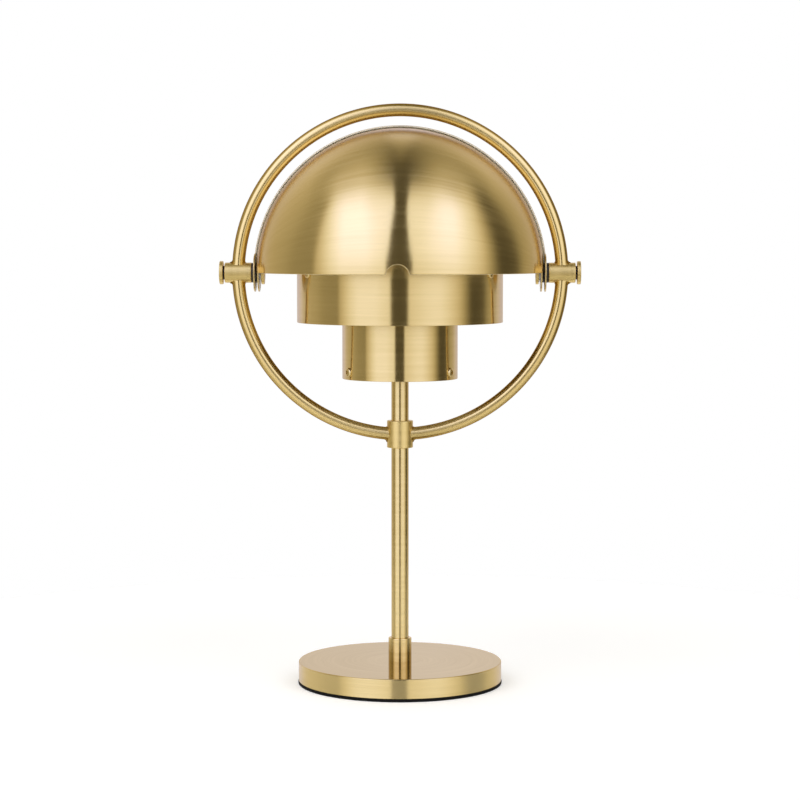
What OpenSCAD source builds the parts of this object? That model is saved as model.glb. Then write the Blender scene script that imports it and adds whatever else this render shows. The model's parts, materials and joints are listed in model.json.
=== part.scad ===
// Dome shade desk lamp. Two quarter-sphere shades swing on a ring round a stepped pair of open
// cylinders. Millimetres, +Z up, +X to the right, -Y to the front. The origin is on the table,
// under the middle of the stem.

/* [Shades] */
// Height of the shades' pivots above the table
pivot_h = 355.5; // [320:0.5:400]
// Outer radius of the back shade, the larger one
shade_r = 125.9; // [118:0.1:134]
// Thickness of the shades' sheet
shade_sheet = 1.2; // [0.8:0.1:1.6]
// Gap between the two nested shades
shade_gap = 1.3; // [1:0.1:2.5]
// Diameter of a shade's round ears
ear_d = 32.8; // [26:0.2:38]
// Depth of the back shade's ears below its outermost point
ear_sink = 0.7; // [0.4:0.1:1]
// Clearance between a shade's notch and the stem
notch_gap = 0.8; // [0.5:0.1:1.5]
// Distance from a shade's edge out to the middle of its round notch
notch_drop = 1.4; // [0.4:0.1:2.4]

/* [Ring] */
// Outer diameter of the ring's tube
tube_d = 11; // [10:0.1:12.5]
// Wall of the ring's tube
tube_wall = 1.5; // [1:0.1:2.5]
// Depth of the sockets that the tube's ends sit in
socket_depth = 2.2; // [1.5:0.1:2.6]
// Diameter of the two cross bosses at the pivots
boss_d = 17.4; // [16:0.1:20]
// Length of the two cross bosses
boss_len = 23; // [18:0.5:27]
// Wall of the sleeve that holds the ring on the stem
sleeve_wall = 3.65; // [3.2:0.05:6]
// Clearance between the sleeve and the shades' swing
swing_gap = 1.4; // [1:0.1:3]
// Diameter of the sleeve's grub screw
grub_d = 4; // [3:0.1:5]
// Distance that the grub screw's end lies below the sleeve's face
grub_sunk = 0.4; // [0.2:0.1:0.8]

/* [Pivots] */
// Diameter of the pivot pins
pin_d = 6; // [5:0.1:7]
// Diameter of the pins' disc heads
pin_head_d = 20; // [16:0.5:24]
// Thickness of the pins' disc heads
pin_head_t = 3; // [2:0.1:4]
// Diameter of the washers under the pins' heads
neck_washer_d = 11.7; // [10:0.1:14]
// Thickness of the washers under the pins' heads
neck_washer_t = 1.5; // [1:0.1:2]
// Diameter of the friction washers
friction_washer_d = 17; // [14:0.1:20]
// Thickness of the friction washers
friction_washer_t = 2.3; // [1.8:0.1:2.8]
// Diameter of the spring washers
spring_washer_d = 16; // [12:0.5:18]
// Thickness of the spring washers
spring_washer_t = 1.6; // [1:0.1:2.2]
// Diameter of the disc nuts on the pins
pivot_nut_d = 20; // [16:0.5:24]
// Thickness of the disc nuts on the pins
pivot_nut_t = 2.4; // [2:0.1:3.5]

/* [Stem] */
// Outer diameter of the stem
stem_d = 15; // [13.5:0.1:17]
// Wall of the collar at the foot of the stem
ferrule_wall = 2.45; // [1.5:0.05:4]
// Height of the collar at the foot of the stem
ferrule_h = 20; // [12:0.5:28]
// Diameter of the hollow studs at both ends of the stem
stud_d = 10; // [9:0.1:11]
// Bore of the hollow studs
stud_bore = 7.4; // [6:0.1:8]
// Length of stud that is screwed into each end of the stem
stud_grip = 14; // [10:0.5:20]

/* [Base] */
// Diameter of the base
base_d = 176; // [160:1:200]
// Height of the brass base, without its pad
base_shell_h = 17; // [16.5:0.5:24]
// Wall of the brass base
base_wall = 1.5; // [1:0.1:2]
// Chamfer on the base's edges
base_chamfer = 0.6; // [0.3:0.1:1]
// Thickness of the pad under the base
pad_t = 2.2; // [1.5:0.1:4]
// Distance that the pad stands out past the brass
pad_lip = 0.4; // [0.2:0.1:1]
// Thickness of the weight over its pocket and channel
weight_web = 3; // [2:0.1:3.4]
// Diameter of the weight's pocket round the foot nut
pocket_d = 36; // [30:0.5:44]
// Width of the weight's channel for the wiring
channel_w = 26; // [25.5:0.5:34]
// Diameter of the washer under the stem
foot_washer_d = 26; // [20:0.5:29]
// Thickness of the washer under the stem
foot_washer_t = 1.5; // [1:0.1:2]
// Width across flats of the nuts on the hollow studs
stud_nut_af = 15; // [14:0.5:18]
// Thickness of the nut under the base
foot_nut_t = 3.5; // [2.5:0.1:4]

/* [Wiring] */
// Diameter of the lead inside the stem
lead_d = 4; // [3:0.1:4.8]
// Radius of the lead's bend in the base
lead_bend_r = 5; // [4.5:0.1:6]
// Height of the lead above the pad
lead_rise = 0.5; // [0.3:0.1:0.8]
// Outer diameter of the cord's inlet bush
bush_d = 10; // [8.5:0.1:10.4]
// Bore of the cord's inlet bush
bush_bore = 6.5; // [5:0.1:7]
// Diameter of the inlet bush's flange
bush_flange_d = 12.4; // [11.5:0.1:12.8]
// Thickness of the inlet bush's flange
bush_flange_t = 2; // [1:0.1:3]
// Length of the inlet bush inside its flange
bush_len = 9; // [6:0.5:12]
// Distance from the stem to the terminal block
block_y = 28; // [25:0.5:32]
// Length of the terminal block
block_len = 20; // [16:0.5:24]
// Width of the terminal block
block_w = 20; // [14:0.5:24]
// Distance from the stem to the cord clamp
clamp_y = 60; // [56:0.5:64]
// Length of the cord clamp
clamp_len = 8; // [7:0.5:12]
// Width of the cord clamp
clamp_w = 24; // [22:0.5:25]
// Distance between the cord clamp's two screws
clamp_screw_gap = 17; // [14:0.5:18]
// Diameter of the screws in the base
small_screw_d = 3; // [2.5:0.1:3.4]
// Diameter of those screws' heads
small_head_d = 5.4; // [4.6:0.1:6]
// Height of those screws' heads
small_head_h = 1.9; // [1.5:0.1:2.2]
// Depth that those screws reach into the weight
small_grip = 2; // [1:0.1:2.4]

/* [Drum] */
// Diameter of the drum, the large cylinder
drum_d = 177; // [160:1:190]
// Height of the drum, half of it above the pivots
drum_h = 85; // [74:1:96]
// Wall of the drum
drum_wall = 1; // [0.8:0.1:1.5]

/* [Lower cylinder] */
// Diameter of the lower cylinder
lower_d = 99.4; // [92:0.2:108]
// Distance from the pivots down to the lower cylinder's bottom edge
lower_drop = 91; // [84:0.5:98]
// Distance from the pivots up to the lower cylinder's top edge
lower_rise = 7.5; // [6.5:0.5:14]
// Wall of the lower cylinder
lower_wall = 1; // [0.8:0.1:1.5]
// Height of its screws above its bottom edge
lower_screw_h = 6.6; // [6:0.1:8]

/* [Brackets] */
// Thickness of the brackets' sheet
bracket_t = 2; // [1.5:0.1:2.5]
// Width of the brackets' arms and tabs
tab_w = 12; // [10:0.5:14]
// Distance that a bracket's tab runs past its screw
tab_past = 4.5; // [4:0.5:5.5]
// Distance from the carrier plate down to its screws
carrier_lift = 6; // [5:0.5:8]
// Diameter of the carrier plate's vents
vent_d = 15; // [12:0.5:18]
// Radius of the circle that the vents lie on
vent_ring_r = 30; // [28:0.5:33]
// Number of vents in the carrier plate
vents = 6; // [4:1:6]
// Height of the spider's collar inside the lower cylinder
collar_h = 9; // [8:0.5:12]
// Distance that the spider's seat runs out past the lower cylinder
seat_past = 3; // [2:0.5:5]
// Diameter of the spider's rivets
rivet_d = 3.2; // [2.6:0.1:4]
// Height of the rivets' heads
rivet_head_h = 1; // [0.8:0.1:1.2]

/* [Cylinder screws] */
// Diameter of the cylinders' screws
screw_d = 4; // [3:0.1:4.5]
// Diameter of their round heads
screw_head_d = 8; // [6.5:0.1:9]
// Height of their round heads
screw_head_h = 2.2; // [1.8:0.1:3]
// Width across flats of the screws' sockets
socket_af = 2.5; // [2:0.1:3]
// Angle from the front to the nearest screws
screw_spread = 60; // [50:1:70]

/* [Lampholder and bulb] */
// Thickness of the nut on top of the carrier plate
carrier_nut_t = 4; // [3:0.1:5]
// Outer diameter of the lampholder
holder_d = 39; // [36:0.5:42]
// Height of the lampholder's cup
holder_h = 46; // [42:0.5:52]
// Wall of the lampholder's cup
holder_wall = 1.2; // [0.8:0.1:1.6]
// Thickness of the lampholder's floor
holder_floor = 2.5; // [2:0.1:4]
// Thickness of the lampholder's rim
holder_rim_t = 3; // [2:0.1:4]
// Thickness of the lampholder insert under its threaded hole
insert_floor_t = 8; // [6:0.5:10]
// Diameter of the bulb's cap
cap_d = 26.4; // [25:0.1:28]
// Length of the bulb's cap
cap_len = 27; // [25:0.5:29]
// Diameter of the bulb's end contact
contact_d = 10; // [8:0.5:12]
// Thickness of the bulb's end contact
contact_t = 3; // [2:0.1:4]
// Diameter of the bulb's glass
bulb_d = 60; // [45:0.5:68]
// Length of the bulb from its contact to its top
bulb_len = 100; // [92:0.5:104]
// Wall of the bulb's glass
bulb_wall = 1; // [0.6:0.1:1.5]

/* [Fits] */
// Clearance round a part that turns, slides or screws in another
fit = 0.05; // [0.02:0.01:0.08]
// Clearance between a bracket and the cylinder round it
bracket_gap = 0.1; // [0.05:0.01:0.15]
// Clearance between the weight and the brass base round it
weight_gap = 0.2; // [0.1:0.05:0.4]
// Clearance between the wiring parts and the weight
wiring_gap = 0.5; // [0.3:0.05:0.8]

/* [Hidden] */
$fn = 96;
sphere_fn = 180;  // sides of the large round pieces
cut = 1;          // how far a cut runs past what it cuts
hex = 6;          // sides of a nut or a socket

brass = [0.85, 0.75, 0.5];
steel = [0.72, 0.72, 0.72];
black = [0.07, 0.07, 0.07];
iron = [0.25, 0.25, 0.26];
white = [0.93, 0.92, 0.88];

// Pivot stack, from the boss inwards. Each place is a distance from the middle of the lamp.
back_ear_out = shade_r - ear_sink;
back_ear_in = back_ear_out - shade_sheet;
boss_in = back_ear_out + friction_washer_t;
boss_out = boss_in + boss_len;
ring_r = boss_in + boss_len / 2;
front_ear_out = back_ear_in - friction_washer_t;
front_ear_in = front_ear_out - shade_sheet;
spring_washer_in = front_ear_in - spring_washer_t;
pivot_nut_in = spring_washer_in - pivot_nut_t;
pin_head_in = boss_out + neck_washer_t;
pin_hole_d = pin_d + 2 * fit;
front_shade_r = shade_r - shade_sheet - shade_gap;
notch_r = stem_d / 2 + notch_gap + notch_drop;

// Ring, sleeve and stem
ring_bottom_z = pivot_h - ring_r;
sleeve_h = 2 * (ring_r - shade_r - swing_gap);
stem_hole_d = stem_d + 2 * fit;
sleeve_d = stem_hole_d + 2 * sleeve_wall;
side_gap_a = asin((boss_d / 2 - socket_depth) / ring_r);
bottom_gap_a = asin((sleeve_d / 2 - socket_depth) / ring_r);
stud_hole_d = stud_d + 2 * fit;

// Base, from the table up
base_top = pad_t + base_shell_h;
shell_ceiling = base_top - base_wall;
web_bottom = shell_ceiling - weight_web;
foot_washer_bottom = web_bottom - foot_washer_t;
foot_nut_bottom = foot_washer_bottom - foot_nut_t;
weight_d = base_d - 2 * base_wall - 2 * weight_gap;
lead_z = pad_t + lead_rise + lead_d / 2;
cord_z = web_bottom - wiring_gap - bush_d / 2;
block_bottom = pad_t + wiring_gap;
clamp_bottom = block_bottom + small_head_h;

// Lower cylinder, carrier plate and spider
lower_bottom = pivot_h - lower_drop;
lower_top = pivot_h + lower_rise;
lower_screw_z = lower_bottom + lower_screw_h;
carrier_bottom = lower_screw_z + carrier_lift;
carrier_top = carrier_bottom + bracket_t;
lower_tab_r = tab_reach(lower_d / 2 - lower_wall);
drum_tab_r = tab_reach(drum_d / 2 - drum_wall);
collar_d = lower_d - 2 * lower_wall - 2 * bracket_gap;
rivet_z = lower_top - collar_h / 2;
front_a = -90;
screw_angles = [front_a - screw_spread, front_a + screw_spread, front_a + 180];
rivet_angles = [front_a, front_a + 120, front_a + 240];

// Lampholder and bulb
nut_top = carrier_top + carrier_nut_t;
holder_top = nut_top + holder_h;
insert_d = holder_d - 2 * holder_wall - 2 * fit;
cap_top = holder_top + holder_rim_t;
cap_bottom = cap_top - cap_len;
thread_bottom = cap_bottom - contact_t;
insert_bottom = thread_bottom - insert_floor_t;
bulb_middle = thread_bottom + bulb_len - bulb_d / 2;
nipple_top = nut_top + holder_floor;

// Distance from the axis to the face of a flat tab that lies inside a wall of radius r
function tab_reach(r) = sqrt(pow(r - bracket_gap, 2) - pow(tab_w / 2, 2));

// ---- Shapes used by several pieces ----

module tube(outer_d, inner_d, h) {
    difference() {
        cylinder(d = outer_d, h = h);
        translate([0, 0, -cut]) cylinder(d = inner_d, h = h + 2 * cut);
    }
}

// A disc with a chamfer on both edges and a hole
module chamfered_disc(d, h, chamfer, hole_d) {
    difference() {
        rotate_extrude() polygon([[0, 0], [d / 2 - chamfer, 0], [d / 2, chamfer],
            [d / 2, h - chamfer], [d / 2 - chamfer, h], [0, h]]);
        if (hole_d > 0) translate([0, 0, -cut]) cylinder(d = hole_d, h = h + 2 * cut);
    }
}

module hex_prism(af, h) {
    cylinder(d = af / cos(180 / hex), h = h, $fn = hex);
}

module hex_nut(af, hole_d, h) {
    difference() {
        hex_prism(af, h);
        translate([0, 0, -cut]) cylinder(d = hole_d, h = h + 2 * cut);
    }
}

// Stands a shape on the right-hand pivot axis, x from the middle, with its +Z outwards
module on_pivot(x) {
    translate([x, 0, pivot_h]) rotate([0, 90, 0]) children();
}

module both_sides() {
    children();
    mirror([1, 0, 0]) children();
}

// Points a shape's +Z outwards at each angle, x from the stem's axis and z up
module around(angles, x, z) {
    for (a = angles) rotate([0, 0, a]) translate([x, 0, z]) rotate([0, 90, 0]) children();
}

// ---- Base ----

module base_pad() {
    color(black) cylinder(d = base_d + 2 * pad_lip, h = pad_t, $fn = sphere_fn);
}

module base_shell() {
    r = base_d / 2;
    color(brass) difference() {
        rotate_extrude($fn = sphere_fn) polygon([[stud_hole_d / 2, shell_ceiling],
            [r - base_wall, shell_ceiling], [r - base_wall, pad_t], [r - base_chamfer, pad_t],
            [r, pad_t + base_chamfer], [r, base_top - base_chamfer], [r - base_chamfer, base_top],
            [stud_hole_d / 2, base_top]]);
        translate([0, r + cut, cord_z]) rotate([90, 0, 0])
            cylinder(d = bush_d + 2 * fit, h = base_wall + 3 * cut);
    }
}

module base_weight() {
    color(iron) difference() {
        translate([0, 0, pad_t])
            cylinder(d = weight_d, h = shell_ceiling - pad_t, $fn = sphere_fn);
        translate([0, 0, pad_t - cut]) cylinder(d = pocket_d, h = web_bottom - pad_t + cut);
        translate([-channel_w / 2, 0, pad_t - cut])
            cube([channel_w, base_d / 2, web_bottom - pad_t + cut]);
        cylinder(d = stud_hole_d, h = base_top);
        small_screw_places() translate([0, 0, web_bottom - cut])
            cylinder(d = small_screw_d + 2 * fit, h = small_grip + fit + cut);
    }
}

// The middles of the terminal block's screw and of the cord clamp's two screws
module small_screw_places() {
    translate([0, block_y + block_len / 2, 0]) children();
    for (side = [-1, 1])
        translate([side * clamp_screw_gap / 2, clamp_y + clamp_len / 2, 0]) children();
}

module base_screws() {
    color(steel) small_screw_places() {
        translate([0, 0, block_bottom]) cylinder(d = small_head_d, h = small_head_h);
        translate([0, 0, clamp_bottom])
            cylinder(d = small_screw_d, h = web_bottom + small_grip - clamp_bottom);
    }
}

module terminal_block() {
    color(white) difference() {
        translate([-block_w / 2, block_y, block_bottom])
            cube([block_w, block_len, web_bottom - block_bottom]);
        small_screw_places() translate([0, 0, block_bottom - cut]) {
            cylinder(d = small_screw_d + 2 * fit, h = base_shell_h);
            cylinder(d = small_head_d + 2 * fit, h = small_head_h + cut);
        }
    }
}

module cord_clamp() {
    color(black) difference() {
        translate([-clamp_w / 2, clamp_y, clamp_bottom])
            cube([clamp_w, clamp_len, web_bottom - clamp_bottom]);
        translate([0, clamp_y - cut, cord_z]) rotate([-90, 0, 0])
            cylinder(d = bush_bore, h = clamp_len + 2 * cut);
        small_screw_places() translate([0, 0, pad_t])
            cylinder(d = small_screw_d + 2 * fit, h = base_shell_h);
    }
}

module cord_bush() {
    color(black) translate([0, base_d / 2, cord_z]) rotate([-90, 0, 0]) difference() {
        union() {
            chamfered_disc(bush_flange_d, bush_flange_t, bush_flange_t / 4, 0);
            translate([0, 0, -bush_len]) cylinder(d = bush_d, h = bush_len + bush_flange_t / 2);
        }
        translate([0, 0, -bush_len - cut])
            cylinder(d = bush_bore, h = bush_len + bush_flange_t + 2 * cut);
    }
}

// ---- Stem and the lead inside it ----

module inner_lead() {
    bend_z = lead_z + lead_bend_r;
    color(black) {
        translate([0, 0, bend_z]) cylinder(d = lead_d, h = insert_bottom - bend_z);
        translate([0, lead_bend_r, bend_z]) rotate([90, 0, 90]) rotate([0, 0, 180])
            rotate_extrude(angle = 90) translate([lead_bend_r, 0]) circle(d = lead_d);
        translate([0, lead_bend_r, lead_z]) rotate([-90, 0, 0])
            cylinder(d = lead_d, h = block_y - lead_bend_r);
    }
}

module foot_stud() {
    color(steel) translate([0, 0, foot_nut_bottom])
        tube(stud_d, stud_bore, base_top + stud_grip - foot_nut_bottom);
}

module foot_washer() {
    color(steel) translate([0, 0, foot_washer_bottom])
        tube(foot_washer_d, stud_hole_d, foot_washer_t);
}

module foot_nut() {
    color(steel) translate([0, 0, foot_nut_bottom])
        hex_nut(stud_nut_af, stud_hole_d, foot_nut_t);
}

module stem_ferrule() {
    ferrule_d = stem_hole_d + 2 * ferrule_wall;
    color(brass) translate([0, 0, base_top])
        chamfered_disc(ferrule_d, ferrule_h, base_chamfer, stem_hole_d);
}

module stem_tube() {
    color(brass) translate([0, 0, base_top]) tube(stem_d, stud_hole_d, carrier_bottom - base_top);
}

// ---- Ring ----

// One bent length of the ring, between two angles from +X towards +Z
module ring_arc(from_a, to_a, outer_d, inner_d) {
    translate([0, 0, pivot_h]) rotate([90, 0, 0]) rotate([0, 0, from_a])
        rotate_extrude(angle = to_a - from_a, $fn = sphere_fn) translate([ring_r, 0])
            difference() {
                circle(d = outer_d, $fn = 48);
                if (inner_d > 0) circle(d = inner_d, $fn = 48);
            }
}

module upper_arc(outer_d, inner_d) {
    ring_arc(side_gap_a, 180 - side_gap_a, outer_d, inner_d);
}

module lower_right_arc(outer_d, inner_d) {
    ring_arc(bottom_gap_a - 90, -side_gap_a, outer_d, inner_d);
}

// The sockets for the ring's tube
module ring_sockets() {
    socket_d = tube_d + 2 * fit;
    upper_arc(socket_d, 0);
    both_sides() lower_right_arc(socket_d, 0);
}

module ring_upper_arc() {
    color(brass) upper_arc(tube_d, tube_d - 2 * tube_wall);
}

module ring_lower_right_arc() {
    color(brass) lower_right_arc(tube_d, tube_d - 2 * tube_wall);
}

module ring_lower_left_arc() {
    color(brass) mirror([1, 0, 0]) lower_right_arc(tube_d, tube_d - 2 * tube_wall);
}

module ring_bottom_boss() {
    color(brass) difference() {
        translate([0, 0, ring_bottom_z - sleeve_h / 2]) cylinder(d = sleeve_d, h = sleeve_h);
        translate([0, 0, ring_bottom_z - sleeve_h]) cylinder(d = stem_hole_d, h = 2 * sleeve_h);
        ring_sockets();
        translate([0, 0, ring_bottom_z]) rotate([-90, 0, 0])
            cylinder(d = grub_d + 2 * fit, h = sleeve_d);
    }
}

module ring_grub_screw() {
    grub_len = sleeve_d / 2 - grub_sunk - stem_hole_d / 2;
    color(steel) translate([0, stem_hole_d / 2, ring_bottom_z]) rotate([-90, 0, 0])
        difference() {
            cylinder(d = grub_d, h = grub_len);
            translate([0, 0, grub_len / 2]) hex_prism(grub_d / 2, grub_len);
        }
}

// ---- Pivots ----

module pivot_boss() {
    difference() {
        on_pivot(boss_in) tube(boss_d, pin_hole_d, boss_len);
        ring_sockets();
    }
}

module right_pivot_boss() {
    color(brass) pivot_boss();
}

module left_pivot_boss() {
    color(brass) mirror([1, 0, 0]) pivot_boss();
}

module pivot_pin() {
    on_pivot(pin_head_in) chamfered_disc(pin_head_d, pin_head_t, base_chamfer, 0);
    on_pivot(pivot_nut_in)
        cylinder(d = pin_d, h = pin_head_in + pin_head_t / 2 - pivot_nut_in);
}

module right_pivot_pin() {
    color(brass) pivot_pin();
}

module left_pivot_pin() {
    color(brass) mirror([1, 0, 0]) pivot_pin();
}

module neck_washers() {
    color(black) both_sides() on_pivot(boss_out) tube(neck_washer_d, pin_hole_d, neck_washer_t);
}

module outer_friction_washers() {
    color(black) both_sides() on_pivot(back_ear_out)
        tube(friction_washer_d, pin_hole_d, friction_washer_t);
}

module inner_friction_washers() {
    color(black) both_sides() on_pivot(front_ear_out)
        tube(friction_washer_d, pin_hole_d, friction_washer_t);
}

module spring_washers() {
    color(steel) both_sides() on_pivot(spring_washer_in)
        tube(spring_washer_d, pin_hole_d, spring_washer_t);
}

module pivot_nuts() {
    color(brass) both_sides() on_pivot(pivot_nut_in)
        chamfered_disc(pivot_nut_d, pivot_nut_t, base_chamfer / 2, pin_hole_d);
}

// ---- Shades ----

// The quarter of space in front of the pivots and above them
module front_quarter(size) {
    translate([-size, -size, 0]) cube([2 * size, size, size]);
}

// A quarter-sphere shade about the pivots' middle, with a sunk round ear at each end of its axis
// and a half-round notch in its lower edge that passes the stem
module shade(r, ear_out) {
    ear_in = ear_out - shade_sheet;
    difference() {
        union() {
            intersection() {
                difference() {
                    sphere(r = r, $fn = sphere_fn);
                    sphere(r = r - shade_sheet, $fn = sphere_fn);
                }
                front_quarter(r + cut);
            }
            intersection() {
                sphere(r = r, $fn = sphere_fn);
                front_quarter(r + cut);
                both_sides() ear_disc(ear_in, ear_d, r - ear_in);
            }
            both_sides() ear_disc(ear_in, ear_d, shade_sheet);
        }
        both_sides() {
            ear_disc(ear_out, ear_d - 2 * shade_sheet, r);
            ear_disc(ear_in - cut, pin_hole_d, r);
        }
        translate([0, 0, -notch_drop]) rotate([90, 0, 0]) cylinder(r = notch_r, h = r + cut);
    }
}

module ear_disc(x, d, h) {
    translate([x, 0, 0]) rotate([0, 90, 0]) cylinder(d = d, h = h);
}

module front_shade() {
    color(brass) translate([0, 0, pivot_h]) shade(front_shade_r, front_ear_out);
}

module back_shade() {
    color(brass) translate([0, 0, pivot_h]) rotate([0, 0, 180]) shade(shade_r, back_ear_out);
}

// ---- Drum and lower cylinder ----

module round_screw(grip) {
    difference() {
        union() {
            translate([0, 0, -grip]) cylinder(d = screw_d, h = grip + screw_head_h / 2);
            chamfered_disc(screw_head_d, screw_head_h, screw_head_h / 3, 0);
        }
        translate([0, 0, screw_head_h / 2]) hex_prism(socket_af, screw_head_h);
    }
}

module screw_holes(x, z, length) {
    around(screw_angles, x, z) cylinder(d = screw_d + 2 * fit, h = length);
}

module drum() {
    color(brass) difference() {
        translate([0, 0, pivot_h - drum_h / 2]) difference() {
            cylinder(d = drum_d, h = drum_h, $fn = sphere_fn);
            translate([0, 0, -cut])
                cylinder(d = drum_d - 2 * drum_wall, h = drum_h + 2 * cut, $fn = sphere_fn);
        }
        screw_holes(drum_d / 4, pivot_h, drum_d / 2);
    }
}

module drum_screws() {
    grip = drum_d / 2 - drum_tab_r + bracket_t + screw_d / 2;
    color(brass) around(screw_angles, drum_d / 2, pivot_h) round_screw(grip);
}

module lower_cylinder() {
    h = lower_top - lower_bottom;
    color(brass) difference() {
        translate([0, 0, lower_bottom]) difference() {
            cylinder(d = lower_d, h = h, $fn = sphere_fn);
            translate([0, 0, -cut])
                cylinder(d = lower_d - 2 * lower_wall, h = h + 2 * cut, $fn = sphere_fn);
        }
        screw_holes(lower_d / 4, lower_screw_z, lower_d / 2);
        rivet_holes();
    }
}

module lower_cylinder_screws() {
    grip = lower_d / 2 - lower_tab_r + bracket_t + screw_d / 2;
    color(brass) around(screw_angles, lower_d / 2, lower_screw_z) round_screw(grip);
}

module rivet_holes() {
    around(rivet_angles, lower_d / 4, rivet_z) cylinder(d = rivet_d + 2 * fit, h = lower_d / 2);
}

// A flat tab that hangs from a bracket, with its outer face x from the axis
module tab(x, bottom, top) {
    translate([x - bracket_t, -tab_w / 2, bottom]) cube([bracket_t, tab_w, top - bottom]);
}

module drum_spider() {
    spider_top = lower_top + bracket_t;
    collar_bore = collar_d - 2 * bracket_t;
    color(steel) difference() {
        union() {
            translate([0, 0, lower_top - collar_h])
                tube(collar_d, collar_bore, collar_h + bracket_t);
            translate([0, 0, lower_top])
                tube(lower_d + 2 * seat_past, collar_bore, bracket_t);
            for (a = screw_angles) rotate([0, 0, a]) {
                translate([lower_d / 2, -tab_w / 2, lower_top])
                    cube([drum_tab_r - lower_d / 2, tab_w, bracket_t]);
                tab(drum_tab_r, pivot_h - tab_past, spider_top);
            }
        }
        screw_holes((drum_tab_r + lower_d / 2) / 2, pivot_h, drum_d / 2);
        rivet_holes();
    }
}

module spider_rivets() {
    collar_in = collar_d / 2 - bracket_t - bracket_gap;
    head_d = 2 * rivet_d;
    color(steel) around(rivet_angles, collar_in, rivet_z) {
        cylinder(d = rivet_d, h = lower_d / 2 - collar_in + rivet_head_h / 2);
        translate([0, 0, -rivet_head_h]) cylinder(d = head_d - rivet_d / 2, h = rivet_head_h);
        translate([0, 0, lower_d / 2 - collar_in])
            chamfered_disc(head_d, rivet_head_h, rivet_head_h / 3, 0);
    }
}

module lower_carrier() {
    color(steel) difference() {
        union() {
            translate([0, 0, carrier_bottom]) cylinder(r = lower_tab_r - bracket_gap, h = bracket_t);
            for (a = screw_angles) rotate([0, 0, a])
                tab(lower_tab_r, lower_screw_z - tab_past, carrier_top);
        }
        cylinder(d = stud_hole_d, h = pivot_h);
        for (i = [0:vents - 1]) rotate([0, 0, front_a + (i + 0.5) * 360 / vents])
            translate([vent_ring_r, 0, carrier_bottom - cut])
                cylinder(d = vent_d, h = bracket_t + 2 * cut);
        screw_holes(lower_tab_r - bracket_t - cut, lower_screw_z, lower_d / 2);
    }
}

// ---- Lampholder and bulb ----

module holder_nipple() {
    bottom = carrier_bottom - stud_grip;
    color(steel) translate([0, 0, bottom]) tube(stud_d, stud_bore, nipple_top - bottom);
}

module carrier_nut() {
    color(steel) translate([0, 0, carrier_top]) hex_nut(stud_nut_af, stud_hole_d, carrier_nut_t);
}

module lampholder_cup() {
    color(black) difference() {
        translate([0, 0, nut_top]) cylinder(d = holder_d, h = holder_h);
        translate([0, 0, nut_top + holder_floor])
            cylinder(d = holder_d - 2 * holder_wall, h = holder_h);
        cylinder(d = stud_hole_d, h = pivot_h);
    }
}

module lampholder_insert() {
    color(white) difference() {
        union() {
            translate([0, 0, insert_bottom])
                cylinder(d = insert_d, h = holder_top + holder_rim_t - insert_bottom);
            translate([0, 0, holder_top]) cylinder(d = holder_d, h = holder_rim_t);
        }
        translate([0, 0, thread_bottom])
            cylinder(d = cap_d + 2 * fit, h = cap_top - thread_bottom + cut);
    }
}

module bulb_contact() {
    color(steel) translate([0, 0, thread_bottom]) cylinder(d = contact_d, h = contact_t);
}

module bulb_cap() {
    color(steel) translate([0, 0, cap_bottom]) cylinder(d = cap_d, h = cap_len);
}

// The bulb's outline grown inwards by inset: a ball on a cone that runs into it smoothly
module bulb_shape(inset) {
    ball_r = bulb_d / 2 - inset;
    neck_r = cap_d / 2 - inset;
    drop = bulb_middle - cap_top;
    reach = sqrt(pow(neck_r, 2) + pow(drop, 2));
    touch_a = acos(ball_r / reach) - atan2(drop, neck_r);
    translate([0, 0, bulb_middle]) sphere(r = ball_r);
    translate([0, 0, cap_top])
        cylinder(r1 = neck_r, r2 = ball_r * cos(touch_a), h = drop + ball_r * sin(touch_a));
}

module bulb_glass() {
    color(white) difference() {
        bulb_shape(0);
        bulb_shape(bulb_wall);
    }
}

base_pad();
base_shell();
base_weight();
cord_bush();
cord_clamp();
terminal_block();
base_screws();
inner_lead();
foot_stud();
foot_washer();
foot_nut();
stem_ferrule();
stem_tube();
ring_upper_arc();
ring_lower_left_arc();
ring_lower_right_arc();
ring_bottom_boss();
ring_grub_screw();
left_pivot_boss();
right_pivot_boss();
left_pivot_pin();
right_pivot_pin();
neck_washers();
outer_friction_washers();
inner_friction_washers();
spring_washers();
pivot_nuts();
front_shade();
back_shade();
drum();
drum_screws();
drum_spider();
spider_rivets();
lower_cylinder();
lower_cylinder_screws();
lower_carrier();
holder_nipple();
carrier_nut();
lampholder_cup();
lampholder_insert();
bulb_contact();
bulb_cap();
bulb_glass();
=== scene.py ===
# %% [markdown]
# # A dome shade desk lamp in brushed brass
# The lamp's construction comes from its CAD model, which is loaded here as a fixed frame. This lesson
# gives each visible piece a mesh with the rounded edges and smooth curves of spun and turned metal, and
# a finish that has a grain. Everything is in metres, with +Z up and the lamp's front towards -Y.

# %% Load the frame
import json
import math

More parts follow.
